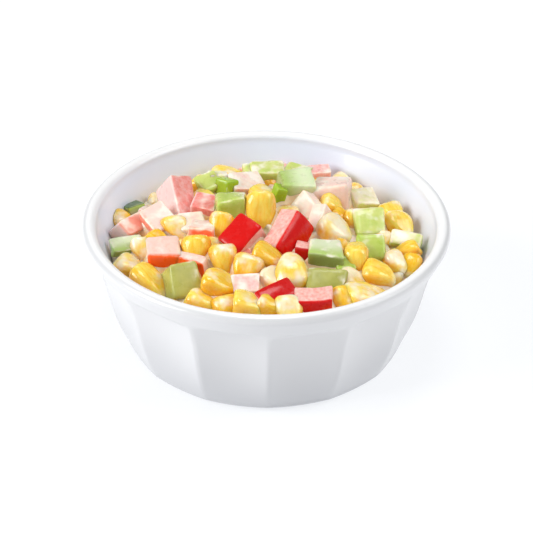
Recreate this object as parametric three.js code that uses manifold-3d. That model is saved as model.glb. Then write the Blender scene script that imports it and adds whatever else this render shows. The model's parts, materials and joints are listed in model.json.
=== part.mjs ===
// A small fluted porcelain bowl heaped with a creamy corn salad: sweetcorn kernels, diced red pepper,
// cucumber, celery, pickle, ham and crab stick, bound with a thin dressing.
// Millimetres, +Z up. The origin is at the centre of the foot ring, on the table, and -Y is the near side
// of the bowl.
import * as THREE from "three";
import { mergeVertices } from "three/addons/utils/BufferGeometryUtils.js";
import Module from "manifold-3d";

const wasm = await Module();
wasm.setup();

// ---- Driving dimensions of the bowl ----
const RIM_RADIUS = 60;
const BOWL_HEIGHT = 45;
const FOOT_RADIUS = 45; // of the fluted wall, carried down to the table
const WALL = 4.6; // measured level, through the side wall
const BELLY = 0.9; // how far the wall swells low down, and draws in under the rim
const LIP = 2.1; // radius of the rounded lip
const FLUTES = 14;
const FLUTE_DEPTH = 2.5;
const FIRST_ARRIS = 1.5; // degrees from the near side towards +X
const FLUTE_TOP = 38; // where the flutes run out into the plain band
const FLUTE_SHOULDER = 3.4;
const FLUTE_FOOT = 18; // below this height the flutes grow shallow
const FLUTE_AT_FOOT = 0.25; // the share of their depth that is left at the table
const FOOT_EDGE = 2.6; // height of the rounded edge above the table
const FOOT_RING = { outer: 42.2, inner: 38.6, recess: 1.2 };
const FLOOR_THICKNESS = 4.4;

// ---- Driving dimensions of the salad ----
const FILL_EDGE = 35; // height of the salad where it meets the wall
const CROWN = 6.5; // how far the middle of the heap stands above its edge
const HEAP_RADIUS = 51.5;
const CORE_DROP = 2.8; // the smooth core lies this far under the heap's mean surface
const BITE = 0.8; // how far each piece's lowest point reaches into the core, at least
const WALL_GAP = 0.35; // between the salad and the glaze
const PIECES = 124; // the most pieces that show on the heap
const CLOSEST = 0.74; // a new piece needs this share of its own and its neighbour's room
const SETTLED = 0.94; // and is then pushed out to this share
const SETTLE_PASSES = 80;
const FILLING_DROP = 2; // pieces that only fill in lie this much lower
const TAU = 2 * Math.PI;

// ---- Small helpers ----
const radians = THREE.MathUtils.degToRad;

function smooth(value) {
  const t = Math.min(1, Math.max(0, value));
  return t * t * (3 - 2 * t);
}

// A seeded draw between two values: the same numbers on every run.
let seed = 4242;
function draw(low, high) {
  seed = (seed * 16807) % 2147483647;
  return low + ((high - low) * seed) / 2147483647;
}

// ---- The bowl's outline, worked out from its dimensions ----
function outerRadius(z) {
  const share = z / (BOWL_HEIGHT - LIP);
  return FOOT_RADIUS + (RIM_RADIUS - FOOT_RADIUS) * share + BELLY * Math.sin(TAU * share);
}

// The wall stands on a level floor, which it meets in a quarter-round.
const COVE = 9;
function innerRadius(z) {
  const wall = outerRadius(z) - WALL;
  const below = Math.min(COVE, Math.max(0, FLOOR_THICKNESS + COVE - z));
  return wall - COVE + Math.sqrt(COVE * COVE - below * below);
}

function fluteDepth(z) {
  const top = smooth((FLUTE_TOP - z) / FLUTE_SHOULDER);
  const foot = FLUTE_AT_FOOT + (1 - FLUTE_AT_FOOT) * smooth(z / FLUTE_FOOT);
  return FLUTE_DEPTH * top * foot;
}

// Joins rings of points round the Z axis into one closed skin. Each ring gives its height and its
// radius at an angle; the skin closes on the axis at both ends.
function ringedGeometry(rings, segments, firstAngle, startZ, endZ) {
  const points = [];
  rings.forEach(({ z, radius }) => {
    for (let i = 0; i < segments; i++) {
      const angle = firstAngle + (TAU * i) / segments;
      const r = radius(i);
      points.push(r * Math.sin(angle), -r * Math.cos(angle), z);
    }
  });
  const start = rings.length * segments;
  const end = start + 1;
  points.push(0, 0, startZ, 0, 0, endZ);
  const faces = [];
  for (let i = 0; i < segments; i++) {
    const j = (i + 1) % segments;
    faces.push(start, j, i);
    for (let k = 0; k < rings.length - 1; k++) {
      const low = k * segments;
      const high = low + segments;
      faces.push(low + i, low + j, high + j, low + i, high + j, high + i);
    }
    const last = (rings.length - 1) * segments;
    faces.push(end, last + i, last + j);
  }
  const geometry = new THREE.BufferGeometry();
  geometry.setAttribute("position", new THREE.Float32BufferAttribute(points, 3));
  geometry.setIndex(faces);
  geometry.computeVertexNormals();
  return geometry;
}

function round(z, r) {
  return { z, radius: () => r };
}

function bowlGeometry() {
  const stepsPerFlute = 5;
  const segments = FLUTES * stepsPerFlute;
  const fluted = (z) => ({
    z,
    radius: (i) => {
      const across = (2 * (i % stepsPerFlute)) / stepsPerFlute - 1; // -1 at the arris before, 1 at the next
      return outerRadius(z) - fluteDepth(z) * (1 - across * across);
    },
  });
  const rings = [
    round(FOOT_RING.recess, FOOT_RING.inner - 1),
    round(0, FOOT_RING.inner),
    round(0, FOOT_RING.outer),
    round(FOOT_EDGE / 3, outerRadius(0) - 0.9),
  ];
  [FOOT_EDGE, 7, 13, 19.5, 27, FLUTE_TOP - FLUTE_SHOULDER].forEach((z) => rings.push(fluted(z)));
  rings.push(fluted(FLUTE_TOP - FLUTE_SHOULDER / 2));
  [FLUTE_TOP, 40.5].forEach((z) => rings.push(round(z, outerRadius(z))));

  // The lip is a half-round, a little narrower than the wall's top.
  const lipZ = BOWL_HEIGHT - LIP;
  const lipWidth = WALL / 2;
  const lipSteps = 5;
  for (let i = 0; i <= lipSteps; i++) {
    const a = (Math.PI * i) / lipSteps;
    rings.push(round(lipZ + LIP * Math.sin(a), RIM_RADIUS - lipWidth + lipWidth * Math.cos(a)));
  }
  [36, 26, 14, 9, 6.2].forEach((z) => rings.push(round(z, innerRadius(z))));
  rings.push(round(FLOOR_THICKNESS, innerRadius(FLOOR_THICKNESS)));
  return ringedGeometry(rings, segments, radians(FIRST_ARRIS), FOOT_RING.recess, FLOOR_THICKNESS);
}

// ---- Solids that are joined ----
function toSolid(geometry) {
  const bare = geometry.index ? geometry.toNonIndexed() : geometry.clone();
  bare.deleteAttribute("normal");
  bare.deleteAttribute("uv");
  const merged = mergeVertices(bare, 1e-3);
  return new wasm.Manifold(
    new wasm.Mesh({
      numProp: 3,
      vertProperties: merged.attributes.position.array,
      triVerts: new Uint32Array(merged.index.array),
    }),
  );
}

function toGeometry(solid) {
  const mesh = solid.getMesh();
  const geometry = new THREE.BufferGeometry();
  geometry.setAttribute("position", new THREE.BufferAttribute(mesh.vertProperties, 3));
  geometry.setIndex(new THREE.BufferAttribute(mesh.triVerts, 1));
  geometry.computeVertexNormals();
  return geometry;
}

// ---- One geometry for each kind of piece, lying flat with its middle at the origin ----

// A sweetcorn kernel: a fat wedge, broad and round at the crown and narrow at the end that sat in
// the cob.
function kernelGeometry(width, length, thickness) {
  const geometry = new THREE.SphereGeometry(1, 6, 4);
  const at = geometry.attributes.position;
  for (let i = 0; i < at.count; i++) {
    const y = at.getY(i);
    const taper = 0.72 + 0.28 * smooth((y + 1) / 1.3);
    const square = 1 / Math.sqrt(Math.max(0.55, 1 - 0.35 * y * y));
    at.setXYZ(
      i,
      at.getX(i) * taper * square * (width / 2),
      y * (length / 2),
      at.getZ(i) * taper * square * (thickness / 2),
    );
  }
  return geometry;
}

// A hand-cut dice, its top and bottom edges a little soft.
function diceGeometry(width, length, height) {
  const bevel = 0.09 * Math.min(width, length, height);
  const outline = new THREE.Shape()
    .moveTo(-width / 2 + bevel, -length / 2 + bevel)
    .lineTo(width / 2 - bevel, -length / 2 + bevel)
    .lineTo(width / 2 - bevel, length / 2 - bevel)
    .lineTo(-width / 2 + bevel, length / 2 - bevel);
  return new THREE.ExtrudeGeometry(outline, {
    depth: height - 2 * bevel,
    bevelSize: bevel,
    bevelThickness: bevel,
    bevelSegments: 1,
  }).translate(0, 0, bevel - height / 2);
}

// A square of pepper: a plate of even thickness, bowed as the fruit's wall is.
function pepperGeometry(width, length, thickness) {
  const bow = width * 1.15; // radius of the skin
  const half = width / 2 / bow;
  const outline = new THREE.Shape();
  outline.absarc(0, 0, bow, Math.PI / 2 - half, Math.PI / 2 + half, false);
  outline.absarc(0, 0, bow - thickness, Math.PI / 2 + half, Math.PI / 2 - half, true);
  return new THREE.ExtrudeGeometry(outline, { depth: length, bevelEnabled: false, curveSegments: 2 })
    .translate(0, thickness / 2 - bow, -length / 2)
    .rotateX(Math.PI / 2);
}

// How large each kind is cut (across, along, high), how far its middle lies above the heap's mean
// surface, and its share of the pieces that fill in between the ones placed by hand.
const KINDS = {
  corn: { shape: kernelGeometry, size: [8.4, 9.6, 6.8], lift: 0, share: 0.62 },
  pepper: { shape: pepperGeometry, size: [10, 10, 4.8], lift: 0, share: 0 },
  cucumber: { shape: diceGeometry, size: [9, 9, 8.2], lift: -1.8, share: 0.04 },
  celery: { shape: diceGeometry, size: [9, 8.6, 8], lift: -1.6, share: 0.1 },
  pickle: { shape: diceGeometry, size: [9, 9, 7.8], lift: -1.6, share: 0.08 },
  crab: { shape: diceGeometry, size: [9.6, 9, 8], lift: -1.6, share: 0.06 },
  ham: { shape: diceGeometry, size: [9, 9, 8.2], lift: -1.8, share: 0.1 },
};

// ---- Where the pieces lie ----

// The pieces that make the salad's look from its near side: kind, x, y, [across, along, high], turn,
// lean, roll (degrees), and the middle's height above the heap's mean surface. Lean tips the top
// towards the near side and roll tips it to the right.
const SHOWN = [
  ["pepper", 7, -8.6, [10.4, 16, 9.2], -32, 28, 68, 1.4],
  ["pepper", 12.2, -15.6, [5.9, 7.4, 5.9], -20, 84, 10, -0.2],
  ["pepper", -8, -8.6, [10.5, 13.1, 6.9], -48, 31, 10, 1.4],
  ["pepper", 3, -37.4, [7.1, 12.6, 5.9], -58, 10, 26, 0.9],
  ["pepper", 15, -38.8, [12.4, 8, 7.8], 4, 100, 0, -0.2],
  ["ham", -30, 17.6, [8.6, 16.5, 11.4], 13, 34, 23, 0.8],
  ["ham", -20.6, 13.4, [8.2, 8.2, 9.5], -14, 16, 6, -0.6],
  ["crab", -43.5, 7.6, [17, 7, 8], 48, 30, 0, -0.4],
  ["crab", -35, 5.6, [9.2, 12, 10.3], 34, 14, -104, 0],
  ["crab", -32.4, -16.6, [12, 10.9, 11.1], 14, 98, -6, 0.8],
  ["crab", -23.6, -21.6, [11.6, 6.8, 4.2], -24, 92, 0, 0.8],
  ["crab", -20.6, -3.6, [9.5, 8.4, 8.4], -8, 80, 0, -0.6],
  ["crab", -24.4, 3.4, [9.5, 8.4, 7.4], 10, 20, 0, -1],
  ["cucumber", -45.6, -6, [11, 2.4, 7.4], 16, 100, 0, 1.0],
  ["cucumber", -44.5, 20.5, [6.6, 6, 6], 30, -14, -10, -1.2],
  ["corn", -48, 13.6, [8.8, 9.9, 6.7], 60, 10, -10, -1.4],
  ["corn", -30, 1, [8.6, 10.1, 7.4], 20, 40, 0, 0.2],
  ["corn", -36, -5.4, [8.8, 9.5, 6.9], 60, 20, 0, -0.6],
  ["corn", -40.4, -8.6, [7.4, 8.4, 6.3], 10, 40, 0, -0.6],
  ["corn", -22.4, -15.6, [9.9, 11.8, 9], 4, 52, -6, 1.2],
  ["corn", -14.8, -1.4, [8.4, 10.1, 7.8], -10, 44, 0, 0.2],
  ["corn", -44, -17.4, [9.5, 11.1, 7.4], 72, 10, 0, -0.4],
  ["corn", -36.6, -27.6, [10.3, 13.7, 9], 52, 16, 0, -0.1],
  ["pickle", -26.4, -29, [11.6, 12, 10.5], 16, 40, 8, -0.4],
  ["corn", -14.5, -33.4, [10.7, 12.8, 9.5], 80, 20, -8, 0.8],
  ["corn", -20, -38.6, [9, 11.1, 7.4], 74, 14, 0, -0.4],
  ["corn", -12, -40.4, [10.1, 9.5, 7.4], 20, 26, 0, -0.9],
  ["corn", -13.6, -20.4, [9.2, 10.9, 8.4], 10, 52, 6, 1],
  ["corn", -6, -25, [10.1, 11.1, 8.8], -24, 36, 10, 0.6],
  ["celery", -11.6, 7.4, [10.7, 9.5, 13.7], 8, -4, 2, 1],
  ["celery", -19.6, 28, [8.4, 8.4, 9], 30, 10, -8, 0.4],
  ["celery", -13.6, 25.4, [6.3, 6.9, 8.4], 50, -8, 10, 0.8],
  ["celery", -16.6, 31.4, [7.4, 7.4, 8.4], 12, -12, 6, 0.8],
  ["corn", -22.6, 30.4, [7.4, 8.4, 7.4], 60, 10, 0, 0.4],
  ["corn", -12.6, 41, [9.5, 13.7, 7.4], 84, 6, 0, -1.4],
  ["celery", -4.6, 42, [7.4, 7.4, 6.7], 12, 6, 0, -0.6],
  ["ham", -7.6, 30, [12.6, 9.5, 8.4], 20, 14, 10, -1],
  ["corn", -2, 6, [10.8, 15, 9.6], 2, 58, 0, 1.2],
  ["cucumber", 9.4, 22.4, [15, 12, 12.8], 14, 4, -88, 1],
  ["celery", 3.8, 15.4, [4.6, 4.4, 9], 20, 4, 14, 2.6],
  ["celery", 0, 40.6, [12.6, 8.4, 8.4], 8, 0, 4, -0.4],
  ["celery", 10.5, 41, [9.5, 7.4, 7.4], -16, 4, 4, -0.4],
  ["crab", 21.8, 21.4, [13.7, 11.6, 13.7], -6, -12, 176, -0.2],
  ["ham", 17.6, 42, [9, 6.9, 6.9], 12, 0, 0, -0.6],
  ["corn", 21.4, 15, [10.1, 9.5, 7.8], 84, 24, 0, 0],
  ["celery", 32.2, 23, [9.9, 9.5, 9], 20, 10, 6, -1.2],
  ["crab", 14.5, 11, [5, 12.5, 8], 34, 18, -150, 0.2],
  ["crab", 17.8, 3.6, [5.9, 10.5, 8.4], -14, 26, 160, 0],
  ["corn", 22.4, -1.6, [10.9, 12, 9], 60, 20, 0, 0.2],
  ["corn", 24, 7.6, [6.7, 7.4, 6.3], 60, 14, 0, 0.2],
  ["cucumber", 19.2, -17, [11.8, 9.4, 10.4], 0, 98, -2, 0.7],
  ["celery", 25, -20, [6.9, 6.3, 7.4], 10, 30, 0, -1],
  ["pickle", 19, -29.2, [13.2, 9.5, 10.1], -8, 30, 4, -0.9],
  ["celery", 33.2, 5, [10.9, 10.5, 11.6], 4, 30, 2, -0.8],
  ["celery", 33.6, -8.6, [9.9, 9.5, 11.6], 4, 30, 0, -1.4],
  ["corn", 28.8, 5, [6.9, 10.1, 6.7], 4, 40, 0, -0.2],
  ["corn", 25, -13.6, [7.8, 8.8, 7.4], 60, 20, 0, 0.2],
  ["corn", 28.8, -18, [8.2, 12.6, 8], 4, 58, -4, 1],
  ["corn", 35.6, -22.8, [9.9, 12.2, 9], 80, 12, -10, 0],
  ["corn", 27.4, -26.6, [9, 9.9, 6.7], 64, 16, 0, -0.6],
  ["corn", 24.4, -36.4, [7.8, 9.5, 7.4], 20, 24, 0, -0.6],
  ["corn", 32, -33, [11.1, 15.8, 8], 114, 12, -6, -0.6],
  ["corn", 44, 9, [9.9, 10.9, 7.8], 24, 16, 6, -0.6],
  ["celery", 45.4, -1.6, [11.1, 6.3, 8.4], -14, 20, 8, -0.4],
  ["corn", 45, -7.6, [6.9, 11.1, 6.9], -74, 24, 8, -0.4],
  ["corn", 42, -14.4, [7.8, 8.8, 6.9], 40, 16, 0, -0.4],
  ["corn", 46.6, -13.6, [7.4, 8.4, 7.4], -20, 20, 10, -1],
  ["corn", 42, 17.4, [9.5, 10.5, 7.4], 30, 10, 0, -1],
  ["corn", 0.5, -20.4, [9.9, 11.6, 8.4], 74, 26, 0, 0.8],
  ["corn", 8.2, -27, [12, 15.3, 9.9], 192, -40, 10, 0.6],
  ["corn", 2.4, -29, [8.4, 8.4, 6.3], 40, 10, 0, -0.6],
  ["ham", -6.5, -32, [9.5, 6.9, 7.4], 4, 34, 0, -0.6],
  ["corn", -4.4, -41.2, [10.5, 13, 8], 86, 16, 0, -0.5],
  ["corn", 1.6, -41.6, [8, 9, 6.9], 70, 18, 0, -0.2],
  ["corn", 7.2, -42.6, [9.5, 9.5, 7.4], 10, 30, 0, -0.5],
];

// Spots near the far wall where only dressing lies, and how far round each no filling piece comes.
const BARE = [[-37, 22], [-31, 30], [-27, 37], [27, 35], [33, 30], [38, 24], [0, 14]];
const BARE_ROOM = 5;

function heapHeight(x, y) {
  return FILL_EDGE + CROWN * (1 - (x * x + y * y) / (HEAP_RADIUS * HEAP_RADIUS));
}

function kindFor(chance) {
  let left = chance;
  for (const [kind, { share }] of Object.entries(KINDS)) {
    left -= share;
    if (left < 0) return kind;
  }
  return "corn";
}

// Half the mean width of a piece as it lies: how close another may come.
function roomFor([across, along]) {
  return (across + along) / 4;
}

// The rest of the surface: a sunflower spiral of candidates, of which the freest are kept, and then
// let settle until the pieces lie side by side.
function placePieces() {
  const pieces = SHOWN.map(([kind, x, y, size, turn, lean, roll, lift]) => ({
    kind, x, y, size, turn, lean, roll, lift, room: roomFor(size), fixed: true,
  }));
  const golden = radians(137.508);
  const candidates = 4 * PIECES;
  for (let i = 0; i < candidates && pieces.length < PIECES; i++) {
    const spot = (i * 89) % candidates; // visits the spiral out of order
    const reach = (HEAP_RADIUS - 3.5) * Math.sqrt((spot + 0.5) / candidates);
    const x = reach * Math.sin(golden * spot);
    const y = -reach * Math.cos(golden * spot);
    const kind = kindFor(draw(0, 1));
    const scale = draw(0.8, 1.02);
    const size = KINDS[kind].size.map((side) => side * scale);
    const piece = {
      kind, x, y, size, turn: draw(-90, 90), lean: draw(-28, 34), roll: draw(-24, 24),
      lift: KINDS[kind].lift + draw(-0.9, 0.7) - FILLING_DROP, room: roomFor(size), fixed: false,
    };
    const crowded = pieces.some(
      (other) => Math.hypot(other.x - x, other.y - y) < CLOSEST * (other.room + piece.room),
    );
    const bare = BARE.some(([bareX, bareY]) => Math.hypot(bareX - x, bareY - y) < BARE_ROOM);
    if (!crowded && !bare) pieces.push(piece);
  }
  for (let pass = 0; pass < SETTLE_PASSES; pass++) {
    pieces.forEach((a, i) => {
      if (a.fixed) return;
      pieces.forEach((b, j) => {
        if (i === j) return;
        const gap = Math.max(0.01, Math.hypot(a.x - b.x, a.y - b.y));
        const push = Math.max(0, SETTLED * (a.room + b.room) - gap) * (b.fixed ? 0.5 : 0.25);
        a.x += ((a.x - b.x) / gap) * push;
        a.y += ((a.y - b.y) / gap) * push;
      });
      const out = Math.hypot(a.x, a.y);
      const limit = HEAP_RADIUS - 0.85 * a.room;
      if (out > limit) {
        a.x *= limit / out;
        a.y *= limit / out;
      }
    });
  }
  return pieces;
}

function pieceSolid({ kind, x, y, size, turn, lean, roll, lift }) {
  const place = new THREE.Matrix4().makeRotationFromEuler(
    new THREE.Euler(radians(lean), radians(roll), radians(turn), "ZXY"),
  );
  place.setPosition(x, y, heapHeight(x, y) + lift);
  const geometry = KINDS[kind].shape(...size).applyMatrix4(place);
  geometry.computeBoundingBox();
  const highest = heapHeight(x, y) - CORE_DROP - BITE;
  geometry.translate(0, 0, Math.min(0, highest - geometry.boundingBox.min.z));
  return toSolid(geometry);
}

// ---- The salad: a smooth core, with the pieces that show joined to it ----

// Turns an outline that follows the bowl's floor and wall, and then closes over the top. The heights
// are measured up from the floor.
function filling(heights, over, segments) {
  const profile = [new THREE.Vector2(0, FLOOR_THICKNESS + WALL_GAP)];
  heights.forEach((up) => {
    const z = FLOOR_THICKNESS + up;
    profile.push(new THREE.Vector2(innerRadius(z) - WALL_GAP, z + (up < COVE ? WALL_GAP : 0)));
  });
  over.forEach(([r, z]) => profile.push(new THREE.Vector2(r, z)));
  return new THREE.LatheGeometry(profile, segments).rotateX(Math.PI / 2);
}

function roomInBowl() {
  const above = BOWL_HEIGHT + 20;
  const flared = innerRadius(BOWL_HEIGHT) + 7;
  return filling([0, 1.8, 5, COVE, 18, 26], [[flared, above], [0, above]], 60);
}

function coreGeometry() {
  const edge = innerRadius(FILL_EDGE - CORE_DROP) - WALL_GAP;
  const over = [1, 0.8, 0.6, 0.4, 0.2, 0].map((share) => {
    const r = edge * share;
    return [r, heapHeight(r, 0) - CORE_DROP];
  });
  return filling([0, 1.8, 5, COVE, 18], over, 30);
}

function saladGeometry() {
  const joined = wasm.Manifold.union([toSolid(coreGeometry()), ...placePieces().map(pieceSolid)]);
  // Cut to the bowl's inside; of what is left, the largest closed skin is the heap, and hollows that
  // the joining sealed are filled.
  const skins = joined.intersect(toSolid(roomInBowl())).decompose();
  skins.sort((a, b) => b.volume() - a.volume());
  return toGeometry(skins[0]);
}

// ---- The part ----
const glaze = new THREE.MeshStandardMaterial({ color: 0xf3f4f6, roughness: 0.12, metalness: 0 });
const creamySalad = new THREE.MeshStandardMaterial({ color: 0xecc95f, roughness: 0.35, metalness: 0 });

const cornSalad = new THREE.Group();

const bowl = new THREE.Mesh(bowlGeometry(), glaze);
bowl.name = "bowl";
cornSalad.add(bowl);

const salad = new THREE.Mesh(saladGeometry(), creamySalad);
salad.name = "salad";
cornSalad.add(salad);

export default cornSalad;
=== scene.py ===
import json
import math
import random
from types import SimpleNamespace

import bpy
import numpy as np
from mathutils import Matrix, Vector
from mathutils.bvhtree import BVHTree

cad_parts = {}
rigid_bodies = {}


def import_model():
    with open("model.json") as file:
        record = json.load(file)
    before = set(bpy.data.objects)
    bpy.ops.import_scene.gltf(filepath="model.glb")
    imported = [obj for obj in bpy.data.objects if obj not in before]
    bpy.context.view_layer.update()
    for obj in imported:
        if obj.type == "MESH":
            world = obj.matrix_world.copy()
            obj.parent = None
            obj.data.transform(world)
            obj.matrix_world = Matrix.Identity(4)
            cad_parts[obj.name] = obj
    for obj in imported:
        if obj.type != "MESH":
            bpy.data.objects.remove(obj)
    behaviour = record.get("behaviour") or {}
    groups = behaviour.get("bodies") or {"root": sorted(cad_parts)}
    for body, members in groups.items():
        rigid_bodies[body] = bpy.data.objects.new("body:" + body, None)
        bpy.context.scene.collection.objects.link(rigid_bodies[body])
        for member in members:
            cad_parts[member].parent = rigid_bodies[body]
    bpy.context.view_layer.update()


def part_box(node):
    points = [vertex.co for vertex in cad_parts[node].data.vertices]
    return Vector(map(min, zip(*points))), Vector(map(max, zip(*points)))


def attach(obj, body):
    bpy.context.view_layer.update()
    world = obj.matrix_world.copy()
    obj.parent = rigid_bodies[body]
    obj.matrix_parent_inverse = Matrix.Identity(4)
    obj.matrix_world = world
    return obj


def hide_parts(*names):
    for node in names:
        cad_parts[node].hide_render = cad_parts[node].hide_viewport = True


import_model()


# ==============================
# The bowl: white porcelain, cast with fourteen shallow hollows round its wall under a plain band, and
# dipped in clear glaze all over but for the foot ring it stands on. It is turned from one outline.
MM = 0.001
_, bowl_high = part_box("bowl")
BOWL_HEIGHT = bowl_high.z
RIM_RADIUS = 60 * MM
FOOT_RADIUS = 45 * MM
WALL = 4.6 * MM
BELLY = 0.9 * MM
LIP = 2.1 * MM
FLUTES = 14
FLUTE_DEPTH = 2.5 * MM
FIRST_ARRIS = 1.5  # degrees, from the near side towards the right
FLUTE_TOP = 38 * MM
FLUTE_SHOULDER = 3.4 * MM
FLUTE_FOOT = 18 * MM
FLUTE_AT_FOOT = 0.25
FOOT_EDGE = 2.6 * MM
FOOT_RING_OUTER = 42.2 * MM
FOOT_RING_INNER = 38.6 * MM
FOOT_RECESS = 1.2 * MM
FLOOR_THICKNESS = 4.4 * MM
COVE = 9 * MM
FOOT_SOFT = 0.35 * MM
RECESS_EDGE = 1.4 * MM
FLOOR_RING = 20 * MM
FLUTE_STEPS = 18
SEAM = 0.01 * MM


def smooth(value):
    share = np.clip(value, 0, 1)
    return share * share * (3 - 2 * share)


def outer_radius(z):
    share = z / (BOWL_HEIGHT - LIP)
    return FOOT_RADIUS + (RIM_RADIUS - FOOT_RADIUS) * share + BELLY * np.sin(2 * np.pi * share)


def inner_radius(z):
    """The inside of the wall, which meets the level floor in a quarter-round."""
    below = np.clip(FLOOR_THICKNESS + COVE - z, 0, COVE)
    return outer_radius(z) - WALL - COVE + np.sqrt(COVE * COVE - below * below)


def flute_depth(z):
    under_band = smooth((FLUTE_TOP - z) / FLUTE_SHOULDER)
    above_foot = FLUTE_AT_FOOT + (1 - FLUTE_AT_FOOT) * smooth(z / FLUTE_FOOT)
    round_foot = smooth(z / FOOT_EDGE)
    return FLUTE_DEPTH * under_band * above_foot * round_foot


def bowl_outline():
    """Rows of radius, height and flute depth, from the middle of the underside out, up, over and in."""
    rows = [(0, FOOT_RECESS), (FOOT_RING_INNER - RECESS_EDGE, FOOT_RECESS)]
    soft = FOOT_SOFT
    for turn in np.linspace(0, np.pi / 2, 4):
        rows.append((FOOT_RING_INNER + soft * (1 - np.cos(turn)), soft * (1 - np.sin(turn))))
    for turn in np.linspace(0, np.pi / 2, 4):
        rows.append((FOOT_RING_OUTER - soft * (1 - np.sin(turn)), soft * (1 - np.cos(turn))))
    under_rows = len(rows)
    swell = outer_radius(FOOT_EDGE) - FOOT_RING_OUTER
    for turn in np.linspace(0.25, 1, 7) * np.pi / 2:
        z = soft + (FOOT_EDGE - soft) * (1 - np.cos(turn))
        rows.append((FOOT_RING_OUTER + swell * np.sin(turn), z))
    lip_z = BOWL_HEIGHT - LIP
    for z in np.linspace(FOOT_EDGE, lip_z, 50)[1:-1]:
        rows.append((outer_radius(z), z))
    outer_rows = len(rows)
    for turn in np.linspace(0, np.pi, 17):
        rows.append((RIM_RADIUS - WALL / 2 * (1 - np.cos(turn)), lip_z + LIP * np.sin(turn)))
    for z in np.linspace(lip_z, FLOOR_THICKNESS + COVE, 24)[1:-1]:
        rows.append((inner_radius(z), z))
    for turn in np.linspace(0, np.pi / 2, 10):
        z = FLOOR_THICKNESS + COVE * (1 - np.sin(turn))
        rows.append((inner_radius(z), z))
    rows += [(FLOOR_RING, FLOOR_THICKNESS), (0, FLOOR_THICKNESS)]
    scoops = [flute_depth(z) if under_rows <= i < outer_rows else 0.0 for i, (_, z) in enumerate(rows)]
    return [(r, z, scoop) for (r, z), scoop in zip(rows, scoops)]


def mark(mesh, name, values, kind="FLOAT"):
    """Gives the mesh an attribute with one value, or one vector, for each point."""
    stored = mesh.attributes.new(name, kind, "POINT").data
    stored.foreach_set("vector" if kind == "FLOAT_VECTOR" else "value", values)


def outline_mesh(rows):
    mesh = bpy.data.meshes.new("bowl_outline")
    mesh.from_pydata([(r, 0, z) for r, z, _ in rows], [(i, i + 1) for i in range(len(rows) - 1)], [])
    mark(mesh, "scoop", [scoop for _, _, scoop in rows])
    return mesh


def add_node(tree, kind, inputs=None, **settings):
    """A new node. Settings are its properties; inputs are its sockets' values, or what feeds them."""
    made = tree.nodes.new(kind)
    for name, value in settings.items():
        setattr(made, name, value)
    for name, value in (inputs or {}).items():
        if isinstance(value, bpy.types.NodeSocket):
            tree.links.new(value, made.inputs[name])
        else:
            made.inputs[name].default_value = value
    return made


def maths(tree, operation, *values):
    return add_node(tree, "ShaderNodeMath", dict(enumerate(values)), operation=operation).outputs[0]


def split(tree, vector):
    """The vector's X, Y and Z."""
    return add_node(tree, "ShaderNodeSeparateXYZ", {0: vector}).outputs


def named_attribute(tree, name, kind):
    return add_node(tree, "GeometryNodeInputNamedAttribute", {"Name": name}, data_type=kind).outputs[0]


def new_tree(name, **sockets):
    """An empty tree of geometry nodes, its input sockets by name, and its output node."""
    tree = bpy.data.node_groups.new(name, "GeometryNodeTree")
    for socket, kind in {"Base": "Geometry", **sockets}.items():
        tree.interface.new_socket(socket, in_out="INPUT", socket_type="NodeSocket" + kind)
    tree.interface.new_socket("Made", in_out="OUTPUT", socket_type="NodeSocketGeometry")
    return tree, tree.nodes.new("NodeGroupInput").outputs, tree.nodes.new("NodeGroupOutput")


def shape_step(tree, kind, made, **inputs):
    """The geometry as it comes out of one more node."""
    return add_node(tree, "GeometryNode" + kind, {"Geometry": made, **inputs}).outputs[0]


def end_tree(tree, made, material, result):
    """The end of each tree: smooth shading, instances made real, and the material."""
    made = shape_step(tree, "SetShadeSmooth", made)
    made = shape_step(tree, "RealizeInstances", made)
    tree.links.new(shape_step(tree, "SetMaterial", made, Material=material), result.inputs[0])


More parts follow.
